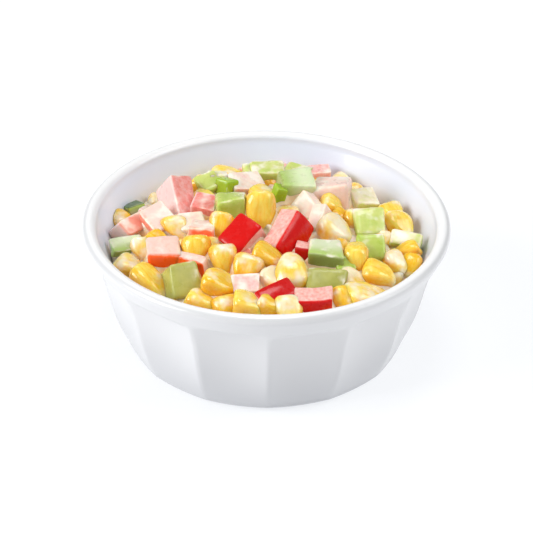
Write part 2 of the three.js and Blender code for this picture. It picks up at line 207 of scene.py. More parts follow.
def turn_and_flute_tree():
    """Turns the outline round the bowl's axis, and scoops the flutes out of it."""
    tree, given, result = new_tree(
        "turn_and_flute", Flutes="Int", Steps="Int", First_Arris="Float", Finish="Material"
    )
    rows = add_node(tree, "GeometryNodeAttributeDomainSize", {0: given["Base"]}).outputs["Point Count"]
    columns = maths(tree, "MULTIPLY", given["Flutes"], given["Steps"])
    height = maths(tree, "SUBTRACT", rows, 1)
    sides = {"Size X": columns, "Size Y": height}
    counts = {"Vertices X": maths(tree, "ADD", columns, 1), "Vertices Y": rows}
    grid = add_node(tree, "GeometryNodeMeshGrid", {**sides, **counts}).outputs["Mesh"]
    position = tree.nodes.new("GeometryNodeInputPosition").outputs[0]
    place = split(tree, position)
    column = maths(tree, "ROUND", maths(tree, "ADD", place[0], maths(tree, "DIVIDE", columns, 2)))
    row = maths(tree, "ADD", place[1], maths(tree, "DIVIDE", height, 2))
    row = add_node(tree, "FunctionNodeFloatToInt", {0: row}, rounding_mode="ROUND").outputs[0]
    base = {"Geometry": given["Base"], "Index": row}
    looked_up = {**base, "Value": position}
    point = add_node(tree, "GeometryNodeSampleIndex", looked_up, data_type="FLOAT_VECTOR").outputs[0]
    looked_up = {**base, "Value": named_attribute(tree, "scoop", "FLOAT")}
    scoop = add_node(tree, "GeometryNodeSampleIndex", looked_up, data_type="FLOAT").outputs[0]
    # -1 at the arris before, 0 in the middle of the flute and 1 at the arris after.
    across = maths(tree, "FRACT", maths(tree, "DIVIDE", column, given["Steps"]))
    across = maths(tree, "MULTIPLY_ADD", across, 2, -1)
    hollow = maths(tree, "SUBTRACT", 1, maths(tree, "MULTIPLY", across, across))
    outline = split(tree, point)
    radius = maths(tree, "SUBTRACT", outline[0], maths(tree, "MULTIPLY", scoop, hollow))
    angle = maths(tree, "MULTIPLY", maths(tree, "DIVIDE", column, columns), 2 * math.pi)
    angle = maths(tree, "ADD", angle, maths(tree, "RADIANS", given["First_Arris"]))
    x = maths(tree, "MULTIPLY", radius, maths(tree, "SINE", angle))
    near = maths(tree, "MULTIPLY", radius, maths(tree, "COSINE", angle))
    y = maths(tree, "MULTIPLY", near, -1)
    turned = add_node(tree, "ShaderNodeCombineXYZ", {0: x, 1: y, 2: outline[2]}).outputs[0]
    made = shape_step(tree, "SetPosition", grid, Position=turned)
    made = shape_step(tree, "MergeByDistance", made, Distance=SEAM)
    end_tree(tree, made, given["Finish"], result)
    return tree


def new_object(name, data):
    made = bpy.data.objects.new(name, data)
    bpy.context.scene.collection.objects.link(made)
    return made


def grow(name, base, tree, **settings):
    """Runs a tree over a mesh, and returns what comes out as an object with a plain mesh."""
    maker = new_object(name + "_maker", base)
    modifier = maker.modifiers.new("nodes", "NODES")
    modifier.node_group = tree
    for socket in tree.interface.items_tree:
        if socket.name in settings:
            modifier[socket.identifier] = settings[socket.name]
    bpy.context.view_layer.update()
    evaluated = maker.evaluated_get(bpy.context.evaluated_depsgraph_get())
    mesh = bpy.data.meshes.new_from_object(evaluated)
    bpy.data.objects.remove(maker)
    return new_object(name, mesh)


def srgb(red, green, blue):
    """A colour as it looks on a screen, from 0 to 255, as the shader's own linear one."""
    shares = [value / 255 for value in (red, green, blue)]
    return (*[s / 12.92 if s < 0.04045 else ((s + 0.055) / 1.055) ** 2.4 for s in shares], 1)


def new_material(name, **values):
    """A material with these values on its shader's own sockets; an underscore stands for a space."""
    material = bpy.data.materials.new(name)
    material.use_nodes = True
    shader = material.node_tree.nodes["Principled BSDF"]
    for socket, value in values.items():
        shader.inputs[socket.replace("_", " ")].default_value = value
    return material


def painted(material, colour):
    tree = material.node_tree
    tree.links.new(colour, tree.nodes["Principled BSDF"].inputs["Base Color"])
    return material


def attribute(tree, name, output="Fac"):
    return add_node(tree, "ShaderNodeAttribute", attribute_name=name).outputs[output]


def object_place(tree):
    return tree.nodes.new("ShaderNodeTexCoord").outputs["Object"]


def mix_colour(tree, share, first, second):
    made = add_node(tree, "ShaderNodeMix", {0: share, 6: first, 7: second}, data_type="RGBA")
    return made.outputs[2]


def fade(tree, value, start, end):
    """0 where the value is at its start, 1 at its end, and smooth between."""
    inputs = {"Value": value, "From Min": start, "From Max": end}
    return add_node(tree, "ShaderNodeMapRange", inputs, interpolation_type="SMOOTHSTEP").outputs[0]


# Painted light and shade in the glaze: the foot colour darkens the outer wall towards the foot, the lip
# colour darkens the outer lip, and the inside colours brighten and cool the inside of the bowl.
GLAZE_FOOT = srgb(192, 193, 197)
GLAZE_BAND = srgb(224, 224, 226)
GLAZE_LIP = srgb(204, 205, 206)
GLAZE_INSIDE = srgb(225, 231, 246)
GLAZE_EDGE = srgb(238, 238, 238)
GREY_FROM = -0.3 * FLUTE_TOP
WHITE_FROM = 0.9 * FLUTE_TOP
INSIDE_FROM = 1.5 * MM
INSIDE_OVER = 1.4 * MM


def porcelain():
    """Glaze with painted light and shade: whiter and bluer inside, as painted light that also cancels the
    warm light off the salad; greyer over the outer lip and darker towards the foot, as painted shade.
    """
    material = new_material("porcelain", Roughness=0.28, IOR=1.5, Coat_Weight=0.25, Coat_Roughness=0.06)
    tree = material.node_tree
    height = split(tree, object_place(tree))[2]
    outer = mix_colour(tree, fade(tree, height, GREY_FROM, WHITE_FROM), GLAZE_FOOT, GLAZE_BAND)
    over_lip = fade(tree, height, BOWL_HEIGHT - LIP, BOWL_HEIGHT)
    outer = mix_colour(tree, over_lip, outer, GLAZE_LIP)
    inner = mix_colour(tree, over_lip, GLAZE_INSIDE, GLAZE_EDGE)
    glaze = mix_colour(tree, attribute(tree, "inside"), outer, inner)
    return painted(material, glaze)


def mesh_points(mesh):
    points = np.empty(len(mesh.vertices) * 3)
    mesh.vertices.foreach_get("co", points)
    return points.reshape(-1, 3)


def mark_inside(mesh):
    """0 on the outside of the bowl and 1 on its inside, with the change over the lip."""
    points = mesh_points(mesh)
    behind = outer_radius(points[:, 2]) - np.hypot(points[:, 0], points[:, 1])
    inside = smooth((behind - flute_depth(points[:, 2]) - INSIDE_FROM) / INSIDE_OVER)
    mark(mesh, "inside", inside * (points[:, 2] > 2 * FOOT_RECESS))


bowl = grow(
    "porcelain_bowl",
    outline_mesh(bowl_outline()),
    turn_and_flute_tree(),
    Flutes=FLUTES,
    Steps=FLUTE_STEPS,
    First_Arris=FIRST_ARRIS,
    Finish=porcelain(),
)
mark_inside(bowl.data)
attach(bowl, "root")
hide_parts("bowl")


# ==============================
# The heap: where each piece of the salad lies. The pieces seen first from the near side are listed one by
# one;
# between and behind them a spiral of candidates fills the heap, and these settle side by side.
FILL_EDGE = 35 * MM
CROWN = 6.5 * MM
HEAP_RADIUS = 51.5 * MM
EDGE_MARGIN = 3.5 * MM
PIECES = 124
CLOSEST = 0.74
SETTLED = 0.94
SETTLE_PASSES = 80
LEAST_GAP = 0.01 * MM
PUSH_FROM_FIXED = 0.5
PUSH_FROM_LOOSE = 0.25
AT_THE_EDGE = 0.85
GOLDEN_ANGLE = math.radians(137.508)
SPOT_STRIDE = 89

# The kinds that fill in, as they are cut, in millimetres: across, along, high; how far the middle lies
# above the heap's mean surface; and the kind's share of those pieces.
KINDS = {
    "corn": SimpleNamespace(size=(8.4, 9.6, 6.8), lift=0, share=0.62),
    "cucumber": SimpleNamespace(size=(9, 9, 8.2), lift=-1.8, share=0.04),
    "celery": SimpleNamespace(size=(9, 8.6, 8), lift=-1.6, share=0.1),
    "pickle": SimpleNamespace(size=(9, 9, 7.8), lift=-1.6, share=0.08),
    "crab": SimpleNamespace(size=(9.6, 9, 8), lift=-1.6, share=0.06),
    "ham": SimpleNamespace(size=(9, 9, 8.2), lift=-1.8, share=0.1),
}

# Kind; x and y; across, along, high; turn, lean and roll in degrees; the middle's height above the heap's
# mean surface; tone, from the kind's palest colour to its deepest; and how much dressing clings to it.
# Lengths are millimetres. Lean tips the top towards the near side and roll tips it to the right.
SHOWN = [
    ("pepper", 7, -8.6, (10.4, 16, 9.2), -32, 28, 68, 1.4, 0.5, 0),
    # A small pepper in its deepest red, set where the pepper above lies in shade: a dark piece standing for
    # painted shade.
    ("pepper", 12.2, -15.6, (5.9, 7.4, 5.9), -20, 84, 10, -0.2, 1, 0),
    ("pepper", -8, -8.6, (10.5, 13.1, 6.9), -48, 31, 10, 1.4, 0.6, 0),
    ("pepper", 3, -37.4, (7.1, 12.6, 5.9), -58, 10, 26, 0.9, 0.8, -0.2),
    ("pepper", 15, -38.8, (12.4, 8, 7.8), 4, 100, 0, -0.2, 0.6, 0),
    ("ham", -30, 17.6, (8.6, 16.5, 11.4), 13, 34, 23, 0.8, 0.8, 0),
    ("ham", -20.6, 13.4, (8.2, 8.2, 9.5), -14, 16, 6, -0.6, 0.9, 0),
    ("crab", -43.5, 7.6, (17, 7, 8), 48, 30, 0, -0.4, 0.35, 0.3),
    ("crab", -35, 5.6, (9.2, 12, 10.3), 34, 14, -104, 0, 0.45, 0.2),
    ("crab", -32.4, -16.6, (12, 10.9, 11.1), 14, 98, -6, 0.8, 1, 0),
    ("crab", -23.6, -21.6, (11.6, 6.8, 4.2), -24, 92, 0, 0.8, 1, 0),
    ("crab", -20.6, -3.6, (9.5, 8.4, 8.4), -8, 80, 0, -0.6, 0.7, 0.4),
    ("crab", -24.4, 3.4, (9.5, 8.4, 7.4), 10, 20, 0, -1, 0.1, 0.7),
    ("cucumber", -45.6, -6, (11, 2.4, 7.4), 16, 100, 0, 1.0, 0.2, -0.1),
    ("cucumber", -44.5, 20.5, (6.6, 6, 6), 30, -14, -10, -1.2, 1, 0),
    ("corn", -48, 13.6, (8.8, 9.9, 6.7), 60, 10, -10, -1.4, 1, 0.35),
    ("corn", -30, 1, (8.6, 10.1, 7.4), 20, 40, 0, 0.2, 0.1, 0.55),
    ("corn", -36, -5.4, (8.8, 9.5, 6.9), 60, 20, 0, -0.6, 0.9, 0.1),
    ("corn", -40.4, -8.6, (7.4, 8.4, 6.3), 10, 40, 0, -0.6, 0.2, 0.6),
    ("corn", -22.4, -15.6, (9.9, 11.8, 9), 4, 52, -6, 1.2, 0.5, -0.3),
    ("corn", -14.8, -1.4, (8.4, 10.1, 7.8), -10, 44, 0, 0.2, 0.7, 0.25),
    ("corn", -44, -17.4, (9.5, 11.1, 7.4), 72, 10, 0, -0.4, 0.2, 0.45),
    ("corn", -36.6, -27.6, (10.3, 13.7, 9), 52, 16, 0, -0.1, 0.45, 0.1),
    ("pickle", -26.4, -29, (11.6, 12, 10.5), 16, 40, 8, -0.4, 0.3, 0),
    ("corn", -14.5, -33.4, (10.7, 12.8, 9.5), 80, 20, -8, 0.8, 0.7, 0.15),
    ("corn", -20, -38.6, (9, 11.1, 7.4), 74, 14, 0, -0.4, 0.4, 0.3),
    ("corn", -12, -40.4, (10.1, 9.5, 7.4), 20, 26, 0, -0.9, 0.8, 0.3),
    ("corn", -13.6, -20.4, (9.2, 10.9, 8.4), 10, 52, 6, 1, 0.3, 0.45),
    ("corn", -6, -25, (10.1, 11.1, 8.8), -24, 36, 10, 0.6, 0.6, 0.35),
    ("celery", -11.6, 7.4, (10.7, 9.5, 13.7), 8, -4, 2, 1, 0.6, 0.1),
    ("celery", -19.6, 28, (8.4, 8.4, 9), 30, 10, -8, 0.4, 0.5, 0.15),
    ("celery", -13.6, 25.4, (6.3, 6.9, 8.4), 50, -8, 10, 0.8, 1, 0),
    ("celery", -16.6, 31.4, (7.4, 7.4, 8.4), 12, -12, 6, 0.8, 0, 0.5),
    ("corn", -22.6, 30.4, (7.4, 8.4, 7.4), 60, 10, 0, 0.4, 0.4, 0.1),
    ("corn", -12.6, 41, (9.5, 13.7, 7.4), 84, 6, 0, -1.4, 0.3, 0.4),
    ("celery", -4.6, 42, (7.4, 7.4, 6.7), 12, 6, 0, -0.6, 0.3, 0.3),
    ("ham", -7.6, 30, (12.6, 9.5, 8.4), 20, 14, 10, -1, 0.15, 0.5),
    ("corn", -2, 6, (10.8, 15, 9.6), 2, 58, 0, 1.2, 0.3, 0),
    ("cucumber", 9.4, 22.4, (15, 12, 12.8), 14, 4, -88, 1, 0, -0.2),
    ("celery", 3.8, 15.4, (4.6, 4.4, 9), 20, 4, 14, 2.6, 1.8, -0.4),
    ("celery", 0, 40.6, (12.6, 8.4, 8.4), 8, 0, 4, -0.4, 0.4, 0.3),
    ("celery", 10.5, 41, (9.5, 7.4, 7.4), -16, 4, 4, -0.4, 0.5, 0.2),
    ("crab", 21.8, 21.4, (13.7, 11.6, 13.7), -6, -12, 176, -0.2, 0.75, 0.3),
    ("ham", 17.6, 42, (9, 6.9, 6.9), 12, 0, 0, -0.6, 0.5, 0.3),
    ("corn", 21.4, 15, (10.1, 9.5, 7.8), 84, 24, 0, 0, 0.2, 0.1),
    ("celery", 32.2, 23, (9.9, 9.5, 9), 20, 10, 6, -1.2, 0.2, 0.55),
    ("crab", 14.5, 11, (5, 12.5, 8), 34, 18, -150, 0.2, 0.1, 0.5),
    ("crab", 17.8, 3.6, (5.9, 10.5, 8.4), -14, 26, 160, 0, 0.2, 0.5),
    ("corn", 22.4, -1.6, (10.9, 12, 9), 60, 20, 0, 0.2, 0.1, 0.75),
    ("corn", 24, 7.6, (6.7, 7.4, 6.3), 60, 14, 0, 0.2, 1, 0),
    ("cucumber", 19.2, -17, (11.8, 9.4, 10.4), 0, 98, -2, 0.7, 0.3, 0.05),
    ("celery", 25, -20, (6.9, 6.3, 7.4), 10, 30, 0, -1, 0.8, 0.1),
    ("pickle", 19, -29.2, (13.2, 9.5, 10.1), -8, 30, 4, -0.9, 0.65, 0),
    ("celery", 33.2, 5, (10.9, 10.5, 11.6), 4, 30, 2, -0.8, 0.4, 0.15),
    ("celery", 33.6, -8.6, (9.9, 9.5, 11.6), 4, 30, 0, -1.4, 0.7, 0.1),
    ("corn", 28.8, 5, (6.9, 10.1, 6.7), 4, 40, 0, -0.2, 0.5, 0.2),
    ("corn", 25, -13.6, (7.8, 8.8, 7.4), 60, 20, 0, 0.2, 0.8, 0.1),
    ("corn", 28.8, -18, (8.2, 12.6, 8), 4, 58, -4, 1, 0.3, 0.05),
    ("corn", 35.6, -22.8, (9.9, 12.2, 9), 80, 12, -10, 0, 0.45, 0.05),
    ("corn", 27.4, -26.6, (9, 9.9, 6.7), 64, 16, 0, -0.6, 0.1, 0.8),
    ("corn", 24.4, -36.4, (7.8, 9.5, 7.4), 20, 24, 0, -0.6, 0.7, 0.35),
    ("corn", 32, -33, (11.1, 15.8, 8), 114, 12, -6, -0.6, 0.3, 0.35),
    ("corn", 44, 9, (9.9, 10.9, 7.8), 24, 16, 6, -0.6, 0.3, 0.2),
    ("celery", 45.4, -1.6, (11.1, 6.3, 8.4), -14, 20, 8, -0.4, 0.3, 0.6),
    ("corn", 45, -7.6, (6.9, 11.1, 6.9), -74, 24, 8, -0.4, 0.7, -0.1),
    ("corn", 42, -14.4, (7.8, 8.8, 6.9), 40, 16, 0, -0.4, 0.4, 0.55),
    ("corn", 46.6, -13.6, (7.4, 8.4, 7.4), -20, 20, 10, -1, 1, 0),
    ("corn", 42, 17.4, (9.5, 10.5, 7.4), 30, 10, 0, -1, 0.4, 0.2),
    ("corn", 0.5, -20.4, (9.9, 11.6, 8.4), 74, 26, 0, 0.8, 0.8, 0.1),
    ("corn", 8.2, -27, (12, 15.3, 9.9), 192, -40, 10, 0.6, 0.4, 0.5),
    ("corn", 2.4, -29, (8.4, 8.4, 6.3), 40, 10, 0, -0.6, 0.1, 0.9),
    ("ham", -6.5, -32, (9.5, 6.9, 7.4), 4, 34, 0, -0.6, 0.3, 0.35),
    ("corn", -4.4, -41.2, (10.5, 13, 8), 86, 16, 0, -0.5, 0.1, 0.2),
    ("corn", 1.6, -41.6, (8, 9, 6.9), 70, 18, 0, -0.2, 0.8, 0.3),
    ("corn", 7.2, -42.6, (9.5, 9.5, 7.4), 10, 30, 0, -0.5, 0.1, 0.6),
]

# Spots near the far wall where only dressing lies, and how far round each no filling piece comes.
BARE = [(-37, 22), (-31, 30), (-27, 37), (27, 35), (33, 30), (38, 24), (0, 14)]
BARE_ROOM = 5 * MM

# How far the pieces that fill in differ in scale, in degrees turned, in millimetres of height and in looks.
FILL_SCALE = (0.8, 1.02)
FILL_TURN = (-90, 90)
FILL_LEAN = (-28, 34)
FILL_ROLL = (-24, 24)
FILL_LIFT = (-0.9, 0.7)
FILL_DROP = 2
FILL_TONE = (0.1, 0.9)
FILL_CREAM = (0.1, 0.8)


def heap_height(x, y):
    return FILL_EDGE + CROWN * (1 - (x * x + y * y) / HEAP_RADIUS**2)


class Draws:
    """Seeded draws, the same on every run: each seed gives the next one."""

    FACTOR = 16807
    LARGEST = 2147483647

    def __init__(self, seed):
        self.seed = seed

    def between(self, low, high):
        self.seed = (self.seed * self.FACTOR) % self.LARGEST
        return low + (high - low) * self.seed / self.LARGEST


def kind_for(chance):
    for kind, cut in KINDS.items():
        chance -= cut.share
        if chance < 0:
            return kind
    return "corn"


def new_piece(kind, x, y, size, turn, lean, roll, lift, tone, cream, fixed):
    across, along, high = (side * MM for side in size)
    angles = [math.radians(angle) for angle in (turn, lean, roll)]
    return SimpleNamespace(
        kind=kind,
        x=x * MM,
        y=y * MM,
        size=(across, along, high),
        angles=angles,
        lift=lift * MM,
        tone=tone,
        cream=cream,
        room=(across + along) / 4,
        fixed=fixed,
    )


def spiral_spot(spot, spots):
    """Where this one of so many even spots lies on a sunflower's spiral."""
    reach = (HEAP_RADIUS - EDGE_MARGIN) * math.sqrt((spot + 0.5) / spots)
    return reach * math.sin(GOLDEN_ANGLE * spot), -reach * math.cos(GOLDEN_ANGLE * spot)


def lay_heap():
    pieces = [new_piece(*row, fixed=True) for row in SHOWN]
    draws = Draws(4242)
    looks = random.Random(7)
    candidates = 4 * PIECES
    for i in range(candidates):
        if len(pieces) >= PIECES:
            break
        x, y = spiral_spot((i * SPOT_STRIDE) % candidates, candidates)
        kind = kind_for(draws.between(0, 1))
        scale = draws.between(*FILL_SCALE)
        size = [side * scale for side in KINDS[kind].size]
        angles = [draws.between(*limits) for limits in (FILL_TURN, FILL_LEAN, FILL_ROLL)]
        lift = KINDS[kind].lift + draws.between(*FILL_LIFT) - FILL_DROP
        tone = looks.uniform(*FILL_TONE)
        cream = looks.uniform(*FILL_CREAM)
        piece = new_piece(kind, x / MM, y / MM, size, *angles, lift, tone, cream, fixed=False)
        near = [math.hypot(p.x - x, p.y - y) < CLOSEST * (p.room + piece.room) for p in pieces]
        bare = [math.hypot(spot_x * MM - x, spot_y * MM - y) < BARE_ROOM for spot_x, spot_y in BARE]
        if not any(near + bare):
            pieces.append(piece)
    for _ in range(SETTLE_PASSES):
        for piece in pieces:
            if not piece.fixed:
                settle(piece, pieces)
    return pieces


def settle(piece, pieces):
    """Pushes a piece away from those that crowd it, and back from the wall."""
    for other in pieces:
        if other is piece:
            continue
        gap = max(LEAST_GAP, math.hypot(piece.x - other.x, piece.y - other.y))
        share = PUSH_FROM_FIXED if other.fixed else PUSH_FROM_LOOSE
        push = max(0, SETTLED * (piece.room + other.room) - gap) * share
        piece.x += (piece.x - other.x) / gap * push
        piece.y += (piece.y - other.y) / gap * push
    out = math.hypot(piece.x, piece.y)
    limit = HEAP_RADIUS - AT_THE_EDGE * piece.room
    if out > limit:
        piece.x *= limit / out
        piece.y *= limit / out


UNDER_PIECES = 150
UNDER_DROP = 4.8 * MM
UNDER_SHIFT = 1.5  # millimetres, each way
UNDER_MIX = {"corn": 6, "celery": 1, "pickle": 1, "crab": 1, "ham": 1}


def lay_under_layer():
    """Pieces that lie deeper, and show in the gaps between the ones on top."""
    draw = random.Random(23)
    pieces = []
    for spot in range(UNDER_PIECES):
        middle = spiral_spot(spot, UNDER_PIECES)
        x, y = (side / MM + draw.uniform(-UNDER_SHIFT, UNDER_SHIFT) for side in middle)
        kind = draw.choices(list(UNDER_MIX), list(UNDER_MIX.values()))[0]
        size = [side * draw.uniform(0.85, 1.1) for side in KINDS[kind].size]
        angles = [draw.uniform(-90, 90), draw.uniform(-40, 60), draw.uniform(-40, 40)]
        lift = KINDS[kind].lift + draw.uniform(-1, 1) - UNDER_DROP / MM
        looks = [draw.uniform(0.2, 1), draw.uniform(0.2, 0.8)]
        pieces.append(new_piece(kind, x, y, size, *angles, lift, *looks, fixed=True))
    return pieces


heap = lay_heap() + lay_under_layer()


# ==============================
# Sweetcorn: boiled kernels, each a fat wedge with a broad, dented crown and a narrow end where it was
# cut from the cob. Their skins are glossy and let light in.
def ring_faces(rings, around):
    """The faces of a skin of rings of points, closed at both ends by a single point."""
    faces = []
    for i in range(around):
        j = (i + 1) % around
        faces.append((0, 1 + i, 1 + j))
        for k in range(rings - 1):
            low = 1 + k * around
            faces.append((low + i, low + around + i, low + around + j, low + j))
        last = 1 + (rings - 1) * around
        faces.append((last + i, rings * around + 1, last + j))
    return faces


def fit_unit(points):
    """Centres the points and stretches them to fill a box from -1 to 1."""
    low = points.min(0)
    high = points.max(0)
    return (points - (low + high) / 2) / ((high - low) / 2)


KERNEL_AROUND = 24
KERNEL_RINGS = 15
TIP_SQUARENESS = 2.1


def kernel(draw):
    """One kernel's points, faces and places in it: +Y is its crown, -Y the end that sat in the cob."""
    narrow = draw.uniform(0.5, 0.74)
    thin = draw.uniform(0.66, 0.92)
    dent = draw.uniform(0.03, 0.12)
    groove = draw.uniform(0.03, 0.14)
    bend = draw.uniform(-0.16, 0.16)
    skew = draw.uniform(-0.2, 0.2)
    slope = draw.uniform(-0.22, 0.22)
    squareness = draw.uniform(2.3, 3.6)
    crown_squareness = draw.uniform(2.4, 3.6)
    points = [(0, -1, 0)]
    for k in range(KERNEL_RINGS):
        turn = math.pi * (k + 1) / (KERNEL_RINGS + 1)
        end = crown_squareness if turn > math.pi / 2 else TIP_SQUARENESS
        y = -math.copysign(abs(math.cos(turn)) ** (2 / end), math.cos(turn))
        fullness = math.sin(turn) ** (2 / end)
        widen = float(smooth((y + 1) / 1.5))
        for i in range(KERNEL_AROUND):
            angle = 2 * math.pi * i / KERNEL_AROUND
            cos = math.cos(angle)
            sin = math.sin(angle)
            x = math.copysign(abs(cos) ** (2 / squareness), cos) * fullness * (narrow + (1 - narrow) * widen)
            z = math.copysign(abs(sin) ** (2 / squareness), sin) * fullness * (thin + (1 - thin) * widen)
            points.append((x, y, z))
    points.append((0, 1, 0))
    points = np.array(points)
    x, y, z = points.T
    crown = smooth((y - 0.3) / 0.7)
    y = y - dent * crown * np.exp(-((x / 0.6) ** 2) - (z / 0.5) ** 2) + slope * crown * z
    z = z - groove * np.exp(-((x / 0.35) ** 2)) * (z > 0) * smooth((0.8 - y) / 0.9)
    z = z + bend * y * y
    x = x + skew * y
    points = fit_unit(np.stack([x, y, z], 1))
    return points, ring_faces(KERNEL_RINGS, KERNEL_AROUND), points


def shape_box(name, cuts):
    """A collection with one hidden object for each shape, kept as points from -0.5 to 0.5."""
    shapes = bpy.data.collections.new(name)
    for i, (points, faces, local) in enumerate(cuts):
        mesh = bpy.data.meshes.new(f"{name}_{i:02}")
        mesh.from_pydata((points / 2).tolist(), [], faces)
        mark(mesh, "local", local.ravel(), "FLOAT_VECTOR")
        shapes.objects.link(bpy.data.objects.new(mesh.name, mesh))
    return shapes


def vector_maths(tree, operation, *values):
    return add_node(tree, "ShaderNodeVectorMath", dict(enumerate(values)), operation=operation).outputs[0]


GRAIN_DETAIL = 1.5


def lay_pieces_tree():
    """Sets one of the shapes at each point, turned and cut as the point says, and makes each uneven."""
    tree, given, result = new_tree(
        "lay_pieces", Shapes="Collection", Unevenness="Float", Grain="Float", Finish="Material"
    )
    children = {"Separate Children": True, "Reset Children": True}
    shapes = add_node(tree, "GeometryNodeCollectionInfo", {"Collection": given["Shapes"], **children})
    turned = named_attribute(tree, "turned", "FLOAT_VECTOR")
    laid = {
        "Points": given["Base"],
        "Instance": shapes.outputs[0],
        "Pick Instance": True,
        "Instance Index": named_attribute(tree, "shape", "INT"),
        "Rotation": add_node(tree, "FunctionNodeEulerToRotation", {0: turned}).outputs[0],
        "Scale": named_attribute(tree, "cut", "FLOAT_VECTOR"),
    }
    made = add_node(tree, "GeometryNodeInstanceOnPoints", laid).outputs[0]
    made = shape_step(tree, "RealizeInstances", made)
    grain = {"Scale": given["Grain"], "Detail": GRAIN_DETAIL}
    grain = add_node(tree, "ShaderNodeTexNoise", grain).outputs["Color"]
    centred = vector_maths(tree, "SUBTRACT", grain, (0.5, 0.5, 0.5))
    amount = {0: centred, "Scale": given["Unevenness"]}
    offset = add_node(tree, "ShaderNodeVectorMath", amount, operation="SCALE").outputs[0]
    made = shape_step(tree, "SetPosition", made, Offset=offset)
    end_tree(tree, made, given["Finish"], result)
    return tree


WALL_CLEARANCE = 0.25 * MM
EDGE_FROM = 0.7
EDGE_OVER = 0.28
laying = lay_pieces_tree()
food = []


def points_mesh(name, pieces, shape_count, draw):
    """One point for each piece, which carries how the piece is turned, cut and coloured."""
    mesh = bpy.data.meshes.new(name + "_points")
    mesh.from_pydata([(p.x, p.y, heap_height(p.x, p.y) + p.lift) for p in pieces], [], [])
    turned = []
    for turn, lean, roll in (p.angles for p in pieces):
        tilted = Matrix.Rotation(turn, 3, "Z") @ Matrix.Rotation(lean, 3, "X")
        turned += (tilted @ Matrix.Rotation(roll, 3, "Y")).to_euler("XYZ")
    shapes = [draw.randrange(shape_count) for _ in pieces]
    mark(mesh, "turned", turned, "FLOAT_VECTOR")
    mark(mesh, "cut", [side for p in pieces for side in p.size], "FLOAT_VECTOR")
    mark(mesh, "shape", shapes, "INT")
    mark(mesh, "tone", [p.tone for p in pieces])
    mark(mesh, "cream", [p.cream for p in pieces])
    return mesh


def press_to_wall(mesh):
    """What would reach into the bowl's wall lies flat against it."""
    points = mesh_points(mesh)
    out = np.hypot(points[:, 0], points[:, 1])
    limit = inner_radius(points[:, 2]) - WALL_CLEARANCE
    points[:, :2] *= np.minimum(1, limit / np.maximum(out, MM))[:, None]
    mesh.vertices.foreach_set("co", points.ravel())
    mesh.update()


def mark_edges(mesh):
    """1 along the edges of a dice and 0 on its faces."""
    local = np.empty(len(mesh.vertices) * 3)
    mesh.attributes["local"].data.foreach_get("vector", local)
    second = np.sort(np.abs(local.reshape(-1, 3)), axis=1)[:, 1]
    mark(mesh, "edge", smooth((second - EDGE_FROM) / EDGE_OVER))


def lay_kind(kind, name, cut_one, material, shape_count, seed, unevenness, grain):
    """Lays every piece of a kind, in so many shapes, as one object."""
    pieces = [p for p in heap if p.kind == kind]
    base = points_mesh(name, pieces, shape_count, random.Random(len(pieces)))
    draw = random.Random(seed)
    shapes = shape_box(name, [cut_one(draw) for _ in range(shape_count)])
    made = grow(name, base, laying, Shapes=shapes, Unevenness=unevenness, Grain=grain, Finish=material)
    for shape in list(shapes.objects):
        bpy.data.objects.remove(shape)
    bpy.data.collections.remove(shapes)
    press_to_wall(made.data)
    if kind != "corn":
        mark_edges(made.data)
    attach(made, "root")
    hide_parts("salad")
    food.append(made)


def mottle(tree, size, detail=2.0, stretch=None):
    """Cloudy noise from 0 to 1 whose blotches are about this size, in metres."""
    place = object_place(tree)
    if stretch:
        place = vector_maths(tree, "MULTIPLY", place, stretch)
    inputs = {"Vector": place, "Scale": 1 / size, "Detail": detail}
    return add_node(tree, "ShaderNodeTexNoise", inputs).outputs["Fac"]


GAP_TOP = 3.5 * MM
GAP_BOTTOM = -0.5 * MM


def in_the_gap(tree, strength):
    """Painted shade in the gaps: from this strength beside the dressing down to 0 on top, standing in for
    the shade and warm light between neighbours.
    """
    return maths(tree, "MULTIPLY", fade(tree, attribute(tree, "clear"), GAP_TOP, GAP_BOTTOM), strength)


CREAM = srgb(242, 228, 207)
CREAM_THICK = srgb(245, 238, 226)
FILM_BLOTCH = 4.5 * MM
FILM_RISE = 1.6 * MM
FILM_BY_PIECE = 0.9
FILM_ON_TOP = 0.45
FILM_LOW_DOWN = 0.35
FILM_ON_EDGES = 0.3
FILM_IN_BLOTCHES = 1.8
FILM_LEAST = -1.0
FILM_THIN = 0.4
FILM_FULL = 1.0
FILM_COVERS = 0.85
THICK_FROM = 0.48
THICK_FULL = 0.62
DRY_PATCH = 2.4 * MM
WETTER = 0.06
DRIER = 0.15
SKIN_GRAIN = 1.4 * MM
SKIN_RELIEF = 0.1 * MM


def dressing_film(tree):
    """How much dressing lies over a piece: most low down, in blotches and by the piece's own share; the
    extra on upward faces and along cut edges is partly dressing and partly painted highlight.
    """
    low = maths(tree, "SUBTRACT", 1, fade(tree, attribute(tree, "clear"), 0, FILM_RISE))
    normal = tree.nodes.new("ShaderNodeNewGeometry").outputs["Normal"]
    # Upward faces and cut edges take more film: partly dressing, partly painted highlight.
    reasons = [
        (attribute(tree, "cream"), FILM_BY_PIECE),
        (split(tree, normal)[2], FILM_ON_TOP),
        (low, FILM_LOW_DOWN),
        (attribute(tree, "edge"), FILM_ON_EDGES),
    ]
    total = maths(tree, "MULTIPLY_ADD", mottle(tree, FILM_BLOTCH), FILM_IN_BLOTCHES, FILM_LEAST)
    for reason, weight in reasons:
        total = maths(tree, "MULTIPLY_ADD", reason, weight, total)
    return maths(tree, "MULTIPLY", fade(tree, total, FILM_THIN, FILM_FULL), FILM_COVERS)


